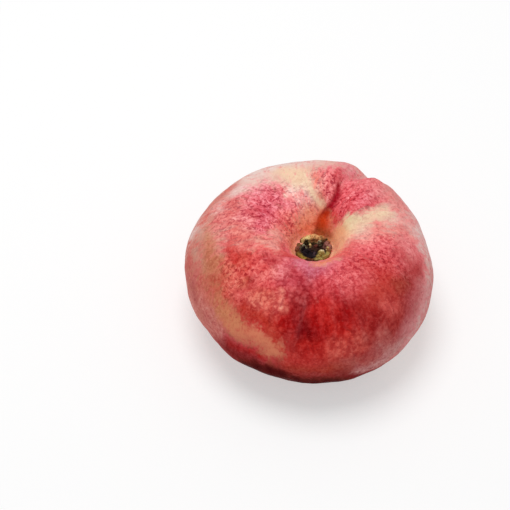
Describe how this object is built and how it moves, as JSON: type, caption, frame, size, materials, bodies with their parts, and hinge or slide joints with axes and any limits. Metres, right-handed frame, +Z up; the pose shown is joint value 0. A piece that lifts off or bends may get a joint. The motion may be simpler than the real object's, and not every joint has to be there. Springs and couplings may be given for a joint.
{
  "type": "flat peach",
  "caption": "Flat doughnut-shaped peach with a seam over its shoulder and the dry stem remnant in its cavity, lying on its blossom end.",
  "frame": {"origin": "on the surface that the fruit rests on, under the middle of the fruit's box", "axes": "+Z up along the core, from the blossom end to the stem cavity; the seam runs over the shoulder at 58 degrees from +X towards +Y; +X to the right with +Y pointing away"},
  "size_m": [0.068, 0.0682, 0.0368],
  "materials": {
    "peach_skin": "velvety peach skin, crimson blush mottled over a cream and tan ground colour",
    "dry_stem": "dry, torn, olive-brown woody tissue"
  },
  "bodies": {
    "root": {"fruit": "peach_skin", "stem_remnant": "dry_stem"}
  },
  "joints": []
}
